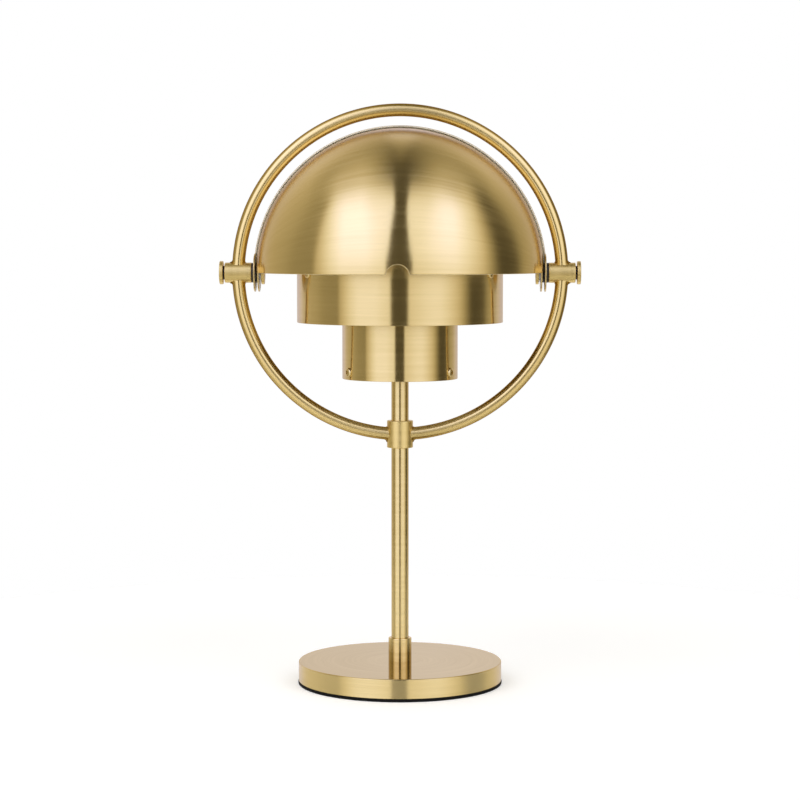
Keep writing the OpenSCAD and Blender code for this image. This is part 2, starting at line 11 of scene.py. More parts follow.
import bmesh
import bpy
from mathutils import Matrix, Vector


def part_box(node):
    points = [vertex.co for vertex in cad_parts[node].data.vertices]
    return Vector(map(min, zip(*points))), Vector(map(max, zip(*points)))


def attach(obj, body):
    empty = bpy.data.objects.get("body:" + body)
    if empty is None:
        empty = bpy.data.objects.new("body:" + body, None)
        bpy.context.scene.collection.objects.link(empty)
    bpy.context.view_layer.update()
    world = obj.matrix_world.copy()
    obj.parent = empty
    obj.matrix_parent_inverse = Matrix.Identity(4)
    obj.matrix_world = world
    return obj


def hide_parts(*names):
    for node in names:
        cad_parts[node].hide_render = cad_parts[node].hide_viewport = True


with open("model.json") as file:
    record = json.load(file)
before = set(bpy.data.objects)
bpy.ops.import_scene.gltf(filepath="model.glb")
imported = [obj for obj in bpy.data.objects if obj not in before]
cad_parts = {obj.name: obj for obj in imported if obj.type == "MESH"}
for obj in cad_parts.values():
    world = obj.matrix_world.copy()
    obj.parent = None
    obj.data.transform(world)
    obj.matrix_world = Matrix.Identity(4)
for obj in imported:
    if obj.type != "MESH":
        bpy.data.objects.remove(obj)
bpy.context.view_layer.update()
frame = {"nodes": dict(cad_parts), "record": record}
mm = 0.001

# %% [markdown]
# ## Places taken from the frame
# Each mesh sits where its CAD node sits, so radii and heights are read from the nodes' boxes. A size
# that a box can't give, such as a wall, is written once as a named value, here or where it is first
# needed.


# %% Radii and heights
def box_radius(node):
    """The outer radius of a round node that stands on the lamp's axis."""
    low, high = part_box(node)
    return (high.x - low.x) / 2


def heights(node):
    low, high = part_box(node)
    return low.z, high.z


pivot_low, pivot_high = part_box("right_pivot_boss")
pivot_z = (pivot_low.z + pivot_high.z) / 2
pivot = Vector((0, 0, pivot_z))
back_shade_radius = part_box("back_shade")[1].z - pivot_z
front_shade_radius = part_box("front_shade")[1].z - pivot_z
shade_sheet = 1.2 * mm
ear_radius = 16.4 * mm
ear_recess = 15.2 * mm  # how near the spun sheet comes to the pivots' axis
notch_radius = 9.7 * mm
notch_drop = 1.4 * mm  # how far the notch's centre lies below the pivots
pin_hole_radius = 3.05 * mm
running_gap = 0.02 * mm  # between an ear and the washer on each side of it
stem_hole_radius = 7.55 * mm
ring_tube_radius = 5.5 * mm
ring_radius = heights("ring_upper_arc")[1] - pivot_z - ring_tube_radius
print("pivots at", round(pivot_z / mm, 1), "ring radius", round(ring_radius / mm, 1))

# %% [markdown]
# ## The camera
# The lamp was photographed with a long lens from a little above its middle and nearly from the front.
# A long lens keeps the circles round and the cylinders' sides upright. The numbers are the ones that
# put the ring, the drum and the base on the photograph's own places.

# %% Place the camera
picture_side = 800
focal_pixels = 2252.5
camera_distance = 1.9384
camera_height = 0.3851
camera_turn = math.radians(1.0)
camera_pitch = math.radians(4.11)

camera_data = bpy.data.cameras.new("camera")
camera_data.sensor_width = 36
camera_data.lens = focal_pixels * camera_data.sensor_width / picture_side
camera = bpy.data.objects.new("camera", camera_data)
bpy.context.scene.collection.objects.link(camera)
camera.location = (camera_distance * math.sin(camera_turn),
                   -camera_distance * math.cos(camera_turn), camera_height)
camera.rotation_euler = (math.pi / 2 - camera_pitch, 0, camera_turn)
bpy.context.scene.camera = camera
print("lens", round(camera_data.lens, 1), "mm")

# %% [markdown]
# ## Node helpers
# Every finish is a small network of nodes. `Finish` holds one material and has a method for each kind
# of node that these finishes use, so that a finish reads as a list of steps.


# %% A builder for node networks
class Finish:
    """One material's (or the world's) nodes. Each method adds a node and gives back its output."""

    def __init__(self, name, tree=None):
        self.material = None
        if tree is None:
            self.material = bpy.data.materials.new(name)
            self.material.use_nodes = True
            tree = self.material.node_tree
        self.tree = tree
        self.tree.nodes.clear()

    def node(self, kind, *in_order, settings=None, **inputs):
        """Adds a node. Its sockets are filled in order, or by name with _ in place of a space."""
        made = self.tree.nodes.new(kind)
        for key, value in (settings or {}).items():
            setattr(made, key, value)
        for place, value in enumerate(in_order):
            self.put(made, place, value)
        for key, value in inputs.items():
            self.put(made, key.replace("_", " "), value)
        return made

    def put(self, node, socket, value):
        """Sets a socket, by name or number, to a value or links it to another node's output."""
        if isinstance(value, bpy.types.NodeSocket):
            self.tree.links.new(value, node.inputs[socket])
        else:
            node.inputs[socket].default_value = value

    def output(self, shader, kind="ShaderNodeOutputMaterial"):
        """Makes a shader node the result, and gives back the finished material."""
        self.node(kind, shader.outputs[0])
        return self.material

    def math(self, operation, *values):
        return self.node("ShaderNodeMath", *values, settings={"operation": operation}).outputs[0]

    def step(self, value, low, high, to_low=0.0, to_high=1.0):
        """A smooth rise (or fall) from to_low to to_high while value goes from low to high."""
        made = self.node("ShaderNodeMapRange", settings={"interpolation_type": "SMOOTHSTEP"},
                         Value=value, From_Min=low, From_Max=high, To_Min=to_low, To_Max=to_high)
        return made.outputs["Result"]

    def ramp(self, value, stops):
        """A colour ramp. stops is a list of (place, (r, g, b))."""
        made = self.node("ShaderNodeValToRGB", value)
        elements = made.color_ramp.elements
        while len(elements) < len(stops):
            elements.new(1.0)
        for element, (place, colour) in zip(elements, stops):
            element.position = place
            element.color = (*colour, 1.0)
        return made.outputs["Color"]

    def noise(self, vector, scale=1.0, detail=2.0, roughness=0.5):
        made = self.node("ShaderNodeTexNoise", Vector=vector, Scale=scale, Detail=detail,
                         Roughness=roughness)
        return made.outputs["Fac"]

    def mix_colour(self, share, a, b, blend="MIX"):
        made = self.node("ShaderNodeMix", share,
                         settings={"data_type": "RGBA", "blend_type": blend})
        first_colour, second_colour = 6, 7  # the node's sockets for colours
        for place, value in ((first_colour, a), (second_colour, b)):
            if isinstance(value, tuple):
                value = (*value, 1.0)
            self.put(made, place, value)
        return made.outputs[2]


# %% [markdown]
# ## The studio light
# Brushed metal shows the room more than itself. The room here is two big soft boxes, one on each side
# of the camera, with a narrow dark gap between them where the camera stands, dark walls at the sides
# and a white backdrop behind the lamp. It is painted on the world by direction, because a direction
# needs no panels that another view could run into. The camera itself sees plain white.
#
# Three numbers say where a ray goes: its turn round the lamp, its height above the horizon, and its
# tip, which is the turn from the front up over the lamp to the back. The tip and the sideways slide
# stay smooth overhead, where a compass turn would whirl.

# %% Directions in the studio
world = bpy.data.worlds.new("studio")
bpy.context.scene.world = world
world.use_nodes = True
# Sampled like a lamp, the room would skip the switch for diffuse rays that its colour uses below.
world.cycles.sampling_method = "NONE"
studio = Finish("studio", world.node_tree)
direction = studio.node("ShaderNodeTexCoord").outputs["Generated"]
split = studio.node("ShaderNodeSeparateXYZ", Vector=direction)
forwards = studio.math("MULTIPLY", split.outputs["Y"], -1.0)
turn = studio.math("DEGREES", studio.math("ARCTAN2", split.outputs["X"], forwards))
height = studio.math("DEGREES", studio.math("ARCSINE", split.outputs["Z"]))
tip = studio.math("DEGREES", studio.math("ARCTAN2", split.outputs["Z"], forwards))
gap_middle = studio.step(tip, 34.0, 62.0, 0.006, 0.024)
slide = studio.math("ABSOLUTE", studio.math("SUBTRACT", split.outputs["X"], gap_middle))


def level_curve(value, low, high, points, top=1.0):
    """A smooth curve through given points (place, level), for a value between low and high."""
    made = studio.node("ShaderNodeFloatCurve")
    curve = made.mapping.curves[0]
    for number, (place, level) in enumerate(points):
        spot = ((place - low) / (high - low), level / top)
        if number in (0, 1):
            curve.points[number].location = spot
        else:
            curve.points.new(*spot)
    for point in curve.points:
        point.handle_type = "AUTO_CLAMPED"
    made.mapping.update()
    share = studio.math("DIVIDE", studio.math("SUBTRACT", value, low), high - low)
    studio.put(made, "Value", share)
    return studio.math("MULTIPLY", made.outputs[0], top)


def times(*values):
    product = values[0]
    for value in values[1:]:
        product = studio.math("MULTIPLY", product, value)
    return product


# %% [markdown]
# Each soft box has a level by its height and a level by its turn. The far edges lean outwards higher
# up, as the top corners of a tilted box do, which the lean below takes care of. The boxes fade out
# towards the ceiling, later at their far ends than near the gap.

# %% Soft boxes
box_by_height = level_curve(height, -90, 90, (
    (-90, 0.45), (-40, 0.60), (-20, 0.78), (-8, 0.90), (0, 1.02), (8, 1.19), (18, 1.30), (30, 1.37),
    (45, 1.44), (56, 1.40), (90, 1.25)), 1.5)
upwards = studio.math("MAXIMUM", studio.math("DIVIDE", height, 52.0), 0.0)
lean = times(studio.math("POWER", upwards, 3.0), 19.0)
toward_side = studio.math("SUBTRACT", studio.math("ABSOLUTE", turn), lean)
left_by_turn = level_curve(toward_side, -60, 120, (
    (-60, 0.80), (8, 0.84), (18, 0.91), (30, 1.0), (42, 1.0), (52, 0.89), (60, 0.69), (66, 0.45),
    (69, 0.30), (72, 0.06), (75, 0.0), (120, 0.0)))
right_by_turn = level_curve(toward_side, -60, 120, (
    (-60, 0.72), (10, 0.74), (20, 0.81), (30, 0.90), (42, 0.95), (52, 0.87), (60, 0.74), (70, 0.53),
    (76, 0.34), (82, 0.15), (88, 0.02), (92, 0.0), (120, 0.0)))
on_left = studio.math("LESS_THAN", turn, 0.0)
box_by_turn = studio.math("ADD", times(left_by_turn, on_left),
                          times(right_by_turn, studio.math("SUBTRACT", 1.0, on_left)))
gap_half = level_curve(tip, -90, 180, (
    (-90, 0.14), (-6, 0.145), (2, 0.180), (9, 0.182), (15, 0.148), (28, 0.122), (41, 0.096),
    (54, 0.074), (66, 0.085), (82, 0.10), (180, 0.10)))
clear_of_gap = studio.step(studio.math("SUBTRACT", slide, gap_half), -0.014, 0.014)
top_edge = studio.math("ADD", times(slide, 14.0), 68.0)
high_up = studio.step(height, 38.0, 58.0)
past_top = times(studio.step(studio.math("SUBTRACT", tip, top_edge), -13.0, 13.0), high_up)
box_light = times(box_by_height, box_by_turn, clear_of_gap, studio.math("SUBTRACT", 1.0, past_top))

# %% [markdown]
# The walls are dim at the sides and the backdrop is white. Overhead the ceiling is dark above the gap
# and lighter to both sides.

# %% Walls, ceiling and backdrop
wall_by_turn = level_curve(turn, -180, 180, (
    (-180, 0.98), (-175, 0.88), (-170, 0.66), (-150, 0.72), (-134, 0.57), (-118, 0.46), (-104, 0.39),
    (-90, 0.31), (-74, 0.28), (-60, 0.09), (0, 0.085), (60, 0.08), (90, 0.08), (103, 0.10), (112, 0.24),
    (120, 0.38), (134, 0.50), (150, 0.66), (170, 0.64), (175, 0.88), (180, 0.98)))
backdrop_by_height = level_curve(height, -90, 90, (
    (-90, 0.85), (-20, 0.95), (10, 1.0), (22, 1.06), (32, 1.08), (40, 0.95), (48, 0.70), (56, 0.48),
    (68, 0.26), (90, 0.10)), 1.2)
at_back = studio.step(tip, 92.0, 118.0)
backdrop_change = times(at_back, studio.math("SUBTRACT", backdrop_by_height, 1.0))
wall_light = times(wall_by_turn, studio.math("ADD", backdrop_change, 1.0))
ceiling_side = studio.math("MULTIPLY_ADD", on_left, 0.10, 0.38)
ceiling_light = studio.math("ADD", times(studio.step(slide, 0.03, 0.42), ceiling_side), 0.08)
overhead = times(past_top, studio.step(tip, 94.0, 128.0, 1.0, 0.0))
room_light = studio.math("ADD", times(wall_light, studio.math("SUBTRACT", 1.0, overhead)),
                         times(ceiling_light, overhead))
light = studio.math("ADD", box_light, room_light)

# %% [markdown]
# The dim parts of a brass lamp's room are warm, because the lamp lights them, and the film turns a
# bright soft box from gold to cream. One ramp turns the room's brightness into its colour, and the
# backdrop beside the lamp is cooler. That is what metal shows. White paint and the floor are lit by
# the soft boxes' own neutral white, and half as strongly again, as the boxes' full size would light
# them. Light Path's Is Diffuse Ray tells the two apart.

# %% The studio's colour and what the camera sees
light_top = 1.5
tint = studio.ramp(studio.math("DIVIDE", light, light_top),
                   [(0.0, (1.16, 1.0, 0.68)), (0.22, (1.14, 1.0, 0.68)), (0.42, (1.12, 1.0, 0.82)),
                    (0.62, (1.03, 1.0, 1.04)), (0.76, (0.99, 1.0, 1.20)), (0.94, (0.97, 1.0, 1.52))])
beside_lamp = times(studio.step(forwards, -0.50, -0.93, 0.0, 1.0),
                    studio.step(forwards, -0.99, -0.94))
cool_tint = studio.mix_colour(1.0, tint, (0.96, 1.0, 1.38), "MULTIPLY")
tint = studio.mix_colour(beside_lamp, tint, cool_tint)
paths = studio.node("ShaderNodeLightPath")
on_paint = paths.outputs["Is Diffuse Ray"]
hue = studio.mix_colour(on_paint, tint, (1.0, 0.985, 0.96))
on_paint_boost = studio.math("MULTIPLY_ADD", on_paint, 0.45, 1.0)
room_background = studio.node("ShaderNodeBackground", Color=hue, Strength=times(light, on_paint_boost))
white_background = studio.node("ShaderNodeBackground", Color=(1, 1, 1, 1), Strength=1.0)
seen_by = studio.node("ShaderNodeMixShader", paths.outputs["Is Camera Ray"],
                      room_background.outputs[0], white_background.outputs[0])
studio.output(seen_by, "ShaderNodeOutputWorld")
print("studio nodes:", len(studio.tree.nodes))

# %% [markdown]
# ## The floor
# The lamp stands on a white table top. Its own diffuse white keeps the lamp's soft shadow, and a little
# glow for camera, glossy and transmission rays lifts the open parts to the backdrop's white. A ray
# that comes from metal passes through more than half of the top and meets the lower part of the soft
# boxes, which a polished top would mirror. That keeps brass bright on its underside.

# %% Lay the floor
floor_radius = 0.62
floor_glow = 0.28
floor_clear_to_metal = 0.62
floor_mesh = bmesh.new()
bmesh.ops.create_circle(floor_mesh, cap_ends=True, radius=floor_radius, segments=96)
floor_data = bpy.data.meshes.new("floor")
floor_mesh.to_mesh(floor_data)
floor_mesh.free()
floor = bpy.data.objects.new("floor", floor_data)
bpy.context.scene.collection.objects.link(floor)
floor.location.z = -0.2 * mm

table_top = Finish("white_table_top")
seen = table_top.node("ShaderNodeLightPath")
mirrored = seen.outputs["Is Glossy Ray"]
shows = table_top.math("MAXIMUM", seen.outputs["Is Camera Ray"], table_top.math(
    "MAXIMUM", mirrored, seen.outputs["Is Transmission Ray"]))
paint = table_top.node("ShaderNodeBsdfDiffuse", Color=(0.84, 0.84, 0.84, 1))
lift = table_top.node("ShaderNodeEmission", Color=(1, 1, 1, 1),
                      Strength=table_top.math("MULTIPLY", shows, floor_glow))
both = table_top.node("ShaderNodeAddShader", paint.outputs[0], lift.outputs[0])
clear = table_top.node("ShaderNodeBsdfTransparent")
polish = table_top.node("ShaderNodeMixShader",
                        table_top.math("MULTIPLY", mirrored, floor_clear_to_metal),
                        both.outputs[0], clear.outputs[0])
floor.data.materials.append(table_top.output(polish))
print("floor of", 2 * floor_radius, "m")

# %% [markdown]
# ## Brushed brass
# A brushed sheet is covered with fine parallel scratches. Along them it is nearly a mirror, and across
# them light spreads wide, so a soft box turns into a band with crisp sides and soft ends. The
# anisotropic shader does the spreading. Its direction comes from the UV map, whose U runs across the
# grain in metres. Long, thin noise adds the scratches that are big enough to see, as bump and as small
# changes of roughness and colour.

# %% Mix the brass
brass_colour = (0.820, 0.655, 0.315)
streak_depth = 0.012 * mm


def brushed_brass(name, spread=0.18, lengthways=0.93, streak_height=1.0, edge_tint=(0.86, 0.82, 0.78),
                  colour=brass_colour, streaks_cross="X", tube_radius=None):
    """Brass with its grain across U. spread is the roughness and lengthways how one-sided it is. The
    streaks that are big enough to see cross the grain map's X, or its Y. A bent tube of tube_radius gets
    painted shade: its tone is darker on the inside and outside of its bend, standing for the dark room
    that those sides reflect."""
    brass = Finish(name)
    across = brass.node("ShaderNodeSeparateXYZ", Vector=brass.node(
        "ShaderNodeUVMap", settings={"uv_map": "grain"}).outputs[0]).outputs[streaks_cross]
    place = brass.node("ShaderNodeSeparateXYZ", Vector=brass.node(
        "ShaderNodeTexCoord").outputs["Object"])

    def scratches(per_metre, along, seed, detail):
        """Noise that is stretched along the grain."""
        lift = brass.math("MULTIPLY", place.outputs["Z"], along * 0.3)
        spot = brass.node("ShaderNodeCombineXYZ",
                          brass.math("MULTIPLY_ADD", place.outputs["X"], along, seed),
                          brass.math("MULTIPLY_ADD", place.outputs["Y"], along, seed),
                          brass.math("MULTIPLY_ADD", across, per_metre, lift))
        return brass.noise(spot.outputs[0], 1.0, detail, 0.6)

    hairs = scratches(1400.0, 26.0, 3.1, 2.0)
    strokes = scratches(330.0, 9.0, 7.7, 2.0)
    clouds = scratches(45.0, 7.0, 1.3, 2.0)
    relief = brass.math("ADD", brass.math("MULTIPLY", hairs, 0.25), strokes)
    bump = brass.node("ShaderNodeBump", Strength=1.0, Distance=streak_depth * streak_height,
                      Height=relief)
    rough = brass.math("ADD", brass.step(strokes, 0.30, 0.70, spread * 0.90, spread * 1.10),
                       brass.step(clouds, 0.30, 0.70, -spread * 0.06, spread * 0.06))
    worn = brass.math("ADD", brass.math("MULTIPLY", strokes, 0.6), brass.math("MULTIPLY", clouds, 0.4))
    dark_tone = tuple(c * k for c, k in zip(colour, (0.955, 0.95, 0.93)))
    light_tone = tuple(min(1.0, c * k) for c, k in zip(colour, (1.035, 1.04, 1.06)))
    tone = brass.ramp(worn, [(0.35, dark_tone), (0.65, light_tone)])
    # Painted shade: the tube's inside and outside of its bend are darkened, standing for the dark room
    # they reflect.
    if tube_radius:
        round_tube = brass.math("DIVIDE", across, tube_radius)
        towards_bend = brass.math("ABSOLUTE", brass.math("COSINE", round_tube))
        painted_shade_tone = brass.mix_colour(1.0, tone, (0.62, 0.55, 0.42), "MULTIPLY")
        tone = brass.mix_colour(brass.step(towards_bend, 0.60, 0.95), tone, painted_shade_tone)
    tangent = brass.node("ShaderNodeTangent",
                         settings={"direction_type": "UV_MAP", "uv_map": "grain"})
    metal = brass.node("ShaderNodeBsdfPrincipled", Metallic=1.0, Anisotropic=lengthways,
                       Base_Color=tone, Roughness=rough, Specular_Tint=(*edge_tint, 1.0),
                       Normal=bump.outputs[0], Tangent=tangent.outputs[0])
    return brass.output(metal)


shade_brass = brushed_brass("brushed_brass_shades", edge_tint=(0.80, 0.71, 0.58))
drum_brass = brushed_brass("brushed_brass_cylinders")
base_brass = brushed_brass("brushed_brass_base_side", spread=0.20)
top_brass = brushed_brass("satin_brass_base_top", spread=0.09, lengthways=0.4, streak_height=0.15,
                          edge_tint=(0.72, 0.68, 0.66))
# The ring's finish has painted shade, a darker tone on the inside and outside of the bend.
tube_brass = brushed_brass("brushed_brass_ring", spread=0.24, lengthways=0.88, streak_height=0.04,
                           edge_tint=(0.34, 0.22, 0.09), colour=(0.86, 0.67, 0.29), streaks_cross="Y",
                           tube_radius=ring_tube_radius)
satin_brass = brushed_brass("satin_brass_fittings", spread=0.38, lengthways=0.2, streak_height=0.12,
                            colour=(0.86, 0.675, 0.275))
edge_brass = brushed_brass("burnished_brass_edges", spread=0.14, lengthways=0.0, streak_height=0.1)
print("brass finishes:", len([m for m in bpy.data.materials if "brass" in m.name]))

# %% [markdown]
# ## Turned pieces
# Most of the lamp is turned or spun round an axis: drum, cylinders, base, sleeves, pins and washers.
# Each is one outline swept round a circle. The outline's corners are rounded first, because a real edge
# always has a small radius that catches a line of light. A Screw modifier could make the sweep, but here
# the exact direction of the surface is stored with each point, so that long flat faces stay flat in a
# mirror finish.


# %% Round an outline's corners
def with_runs(places):
    """Adds to each (point, normal) of an outline how far along the outline it lies."""
    run, path = 0.0, []
    for number, (point, normal) in enumerate(places):
        if number:
            run += (point - places[number - 1][0]).length
        path.append((point, normal, run))
    return path


def rounded(corners, radii, steps=6):
    """Replaces each corner of a closed outline by an arc. Gives (point, normal, run) for each place.
    The outline runs so that its outside is on the right-hand side of the way it goes."""
    points = [Vector(c) for c in corners]
    places = []
    for i, (corner, radius) in enumerate(zip(points, radii)):
        before = (corner - points[i - 1]).normalized()
        after = (points[(i + 1) % len(points)] - corner).normalized()
        bend = math.atan2(before.x * after.y - before.y * after.x, before.dot(after))
        reach = radius * abs(math.tan(bend / 2))
        side = 1 if bend > 0 else -1
        centre = corner - before * reach + Vector((-before.y, before.x)) * radius * side
        out = Vector((before.y, -before.x))
        count = max(1, round(steps * abs(bend) / (math.pi / 2)))
        for k in range(count + 1):
            a = bend * k / count
            normal = Vector((out.x * math.cos(a) - out.y * math.sin(a),
                             out.x * math.sin(a) + out.y * math.cos(a)))
            places.append((centre + normal * radius * side, normal))
    return with_runs(places + [places[0]])


# %% [markdown]
# The sweep gives each face a UV in metres: U runs along the outline, across the grain, and V round the
# axis. Pieces of one node can share a mesh, so the sweep adds to a mesh under construction.


# %% Sweep an outline round an axis
class Work:
    """A mesh under construction, with its own surface directions, grain map and face finishes."""

    def __init__(self):
        self.points, self.normals, self.faces, self.grain, self.finish = [], [], [], [], []

    def face(self, corners, grain, finish=0):
        """Adds a face, turned to the same side as the directions stored at its corners."""
        spots = [Vector(self.points[c]) for c in corners]
        facing = (spots[2] - spots[0]).cross(spots[3] - spots[1])
        meant = sum((Vector(self.normals[c]) for c in corners), Vector())
        if facing.dot(meant) < 0:
            corners, grain = corners[::-1], grain[::-1]
        self.faces.append(corners)
        self.grain.append(grain)
        self.finish.append(finish)

    def grid(self, rows, uvs, wrap=False, finish=0):
        """rows[i][j] is (point, normal); uvs(i, j) gives the grain map's place of that corner. A face
        whose finish is None is left out, as an opening."""
        start, width = len(self.points), len(rows[0])
        for row in rows:
            for point, normal in row:
                self.points.append(tuple(point))
                self.normals.append(tuple(normal))
        for i in range(len(rows) - 1):
            for j in range(width if wrap else width - 1):
                spots = [(i, j), (i, j + 1), (i + 1, j + 1), (i + 1, j)]
                ids = [start + a * width + b % width for a, b in spots]
                kind = finish(i, j) if callable(finish) else finish
                if kind is not None:
                    self.face(ids, [uvs(a, b) for a, b in spots], kind)

    def build(self, name, *materials):
        mesh = bpy.data.meshes.new(name)
        mesh.from_pydata(self.points, [], self.faces)
        mesh.update()
        layer = mesh.uv_layers.new(name="grain")
        layer.data.foreach_set("uv", [v for face in self.grain for uv in face for v in uv])
        mesh.polygons.foreach_set("material_index", self.finish)
        mesh.polygons.foreach_set("use_smooth", [True] * len(self.faces))
        for material in materials:
            mesh.materials.append(material)
        mesh.normals_split_custom_set_from_vertices(self.normals)
        piece = bpy.data.objects.new(name, mesh)
        bpy.context.scene.collection.objects.link(piece)
        return piece


def turned(work, path, place=None, steps=192, finish=0):
    """Sweeps an outline of (radius, height) places round +Z. place turns each point into the frame."""
    widest = max(point.x for point, normal, run in path)

    def put(point, normal, a):
        spot = Vector((point.x * math.cos(a), point.x * math.sin(a), point.y))
        way = Vector((normal.x * math.cos(a), normal.x * math.sin(a), normal.y))
        return (spot, way) if place is None else place(spot, way)

    rows = [[put(point, normal, 2 * math.pi * j / steps) for j in range(steps)]
            for point, normal, run in path]
    work.grid(rows, lambda i, j: (path[i][2], widest * 2 * math.pi * j / steps), wrap=True,
              finish=finish)


near_axis = 0.01 * mm  # where a solid disc's outline starts and ends


def ring_outline(inner, outer, bottom, top, radius, inner_radius=None):
    """The rounded outline of a tube or washer, going up on its outside."""
    inside = radius if inner_radius is None else inner_radius
    return rounded([(outer, bottom), (outer, top), (inner, top), (inner, bottom)],
                   [radius, radius, inside, inside])


def disc_outline(outer, bottom, top, radius):
    """The rounded outline of a solid disc, from the middle of its floor round to its top's middle."""
    closed = rounded([(outer, bottom), (outer, top), (0.0, top), (0.0, bottom)], [radius, radius, 0, 0])
    rim = [(point, normal) for point, normal, run in closed if point.x > near_axis / 2][:-1]
    low = (Vector((near_axis, bottom)), Vector((0, -1)))
    high = (Vector((near_axis, top)), Vector((0, 1)))
    return with_runs([low] + rim + [high])


def finished(piece, body, node):
    """A piece that stands for a CAD node, which it hides, and rides on its body."""
    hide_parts(node)
    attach(piece, body)
    print(f"{piece.name}: {len(piece.data.vertices)} points")
    return piece


def turned_piece(node, path, material, places=(None,), steps=192, made_of="brass"):
    """A finished piece of the stand: one outline, swept at each of the places."""
    work = Work()
    for place in places:
        turned(work, path, place, steps)
    return finished(work.build(f"{node}_{made_of}", material), "stand", node)


# %% [markdown]
# ## Drum and lower cylinder
# Both are rolled brass tubes with thin walls and softly broken edges. Their grain runs round them, from
# a brushing belt while the tube spins. A sweep of the wall's outline gives exactly that.

# %% Turn the two cylinders
wall = 1.0 * mm
for name in ("drum", "lower_cylinder"):
    radius = box_radius(name)
    outline = ring_outline(radius - wall, radius, *heights(name), 0.35 * mm)
    turned_piece(name, outline, drum_brass, steps=256)

# %% [markdown]
# ## Stem, foot collar and sleeve
# The stem is a drawn tube. A collar hides its joint with the base, and a sleeve carries the ring. All
# are swept, and their visible edges are broken by a few tenths of a millimetre.

# %% Turn the stem's pieces
stem_bore = 5.05 * mm
for name, bore, top_edge, bottom_edge, brass in (
        ("stem_tube", stem_bore, 0.2 * mm, 0.2 * mm, drum_brass),
        ("stem_ferrule", stem_hole_radius, 0.6 * mm, 0.1 * mm, drum_brass),
        ("ring_bottom_boss", stem_hole_radius, 0.6 * mm, 0.6 * mm, satin_brass)):
    bottom, top = heights(name)
    radius = box_radius(name)
    outline = rounded([(radius, bottom), (radius, top), (bore, top), (bore, bottom)],
                      [bottom_edge, top_edge, 0.2 * mm, 0.1 * mm])
    turned_piece(name, outline, brass, steps=96)

# %% [markdown]
# ## Base
# The base is a brass cover over an iron weight. Its side is brushed round, and its top is a finer satin
# that shows the collar as in a dull mirror. The crisp edge between them is a small chamfer with rounded
# corners. A thin black pad stands out below it by less than half a millimetre. At the back, the wall
# is open behind the flange of the cord's bush.

# %% Outline the base
shell_bottom, shell_top = heights("base_shell")
shell_radius = box_radius("base_shell")
shell_wall = 1.5 * mm
shell_inside = shell_radius - shell_wall
chamfer = 0.6 * mm
shell_outline = rounded(
    [(shell_radius, shell_bottom + chamfer), (shell_radius, shell_top - chamfer),
     (shell_radius - chamfer, shell_top), (stem_bore, shell_top), (stem_bore, shell_top - shell_wall),
     (shell_inside, shell_top - shell_wall), (shell_inside, shell_bottom),
     (shell_radius - chamfer, shell_bottom)],
    [0.4 * mm, 0.4 * mm, 0.4 * mm, 0.1 * mm, 0.1 * mm, 0.1 * mm, 0.1 * mm, 0.2 * mm])
print("base outline:", len(shell_outline), "places")

# %% Open the base behind the cord's bush
bush_low, bush_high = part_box("cord_bush")
inlet_z = (bush_low.z + bush_high.z) / 2
inlet_half = 4.1 * mm
inlet_levels = (inlet_z - inlet_half, inlet_z + inlet_half)
around = 256
inlet_steps = range(around // 4 - 2, around // 4 + 2)
flat = 1e-5  # a normal's share that still counts as none


def split_walls(path, levels):
    """Adds places at the given heights to an outline's upright faces."""
    out = []
    for (point, normal, run), (after, after_normal, after_run) in zip(path, path[1:]):
        out.append((point, normal, run))
        if abs(normal.y) < flat and abs(after_normal.y) < flat:
            between = [z for z in levels if min(point.y, after.y) < z < max(point.y, after.y)]
            for z in sorted(between, reverse=after.y < point.y):
                share = (z - point.y) / (after.y - point.y)
                out.append((point.lerp(after, share), normal, run + (after_run - run) * share))
    return out + [path[-1]]


def shell_finish(i, j):
    """The top's own finish, the side's, or None for the opening of the cord's inlet."""
    (low, low_way, _), (high, high_way, _) = shell_outline[i], shell_outline[i + 1]
    middle = (low.y + high.y) / 2
    upright = abs(low_way.y) < flat and abs(high_way.y) < flat
    if j in inlet_steps and upright and inlet_levels[0] < middle < inlet_levels[1]:
        return None
    return 1 if low_way.y > 0.99 and high_way.y > 0.99 else 0


shell_outline = split_walls(shell_outline, inlet_levels)
work = Work()
turned(work, shell_outline, steps=around, finish=shell_finish)
finished(work.build("base_shell_brass", base_brass, top_brass), "stand", "base_shell")

# %% [markdown]
# Rubber, plastic, plating, paint and cast iron all have a fine grain without a direction. Fine noise
# moves their colour and roughness between two near values and raises a slight relief, so one helper
# mixes them all.


# %% Mix the rubber and turn the pad
def grainy(name, grain, colours, roughness, relief=None, specks=None, **sockets):
    """A finish with a fine grain. grain is the noise's scale and detail. colours and roughness are the
    two ends that it moves between, and relief is the bump's strength and depth. The colours may follow
    a noise of their own, specks."""
    finish = Finish(name)
    place = finish.node("ShaderNodeTexCoord").outputs["Object"]
    grains = finish.noise(place, *grain)
    shader = finish.node("ShaderNodeBsdfPrincipled", **sockets)
    if relief:
        bump = finish.node("ShaderNodeBump", Strength=relief[0], Distance=relief[1], Height=grains)
        finish.put(shader, "Normal", bump.outputs[0])
    colour_noise = finish.noise(place, *specks) if specks else grains
    finish.put(shader, "Base Color", finish.ramp(colour_noise, list(zip((0.3, 0.7), colours))))
    finish.put(shader, "Roughness", finish.step(grains, 0.3, 0.7, *roughness))
    return finish.output(shader)


rubber = grainy("black_rubber", (1800.0, 3.0), ((0.003, 0.003, 0.003), (0.007, 0.007, 0.007)),
                (0.62, 0.80), relief=(0.4, 0.04 * mm), Specular_IOR_Level=0.12)
turned_piece("base_pad", disc_outline(box_radius("base_pad"), *heights("base_pad"), 0.5 * mm), rubber,
             steps=256, made_of="rubber")

# %% [markdown]
# ## Ring
# The ring is three bent lengths of tube that are brazed into the bosses at its sides and the sleeve at
# its bottom. A small fillet of braze metal flares out where each tube meets a boss. A curve with a round
# bevel would give the plain tube, but no fillet. So the tube is swept along its arc here, and its
# radius grows near the boss by the fillet's own curve.

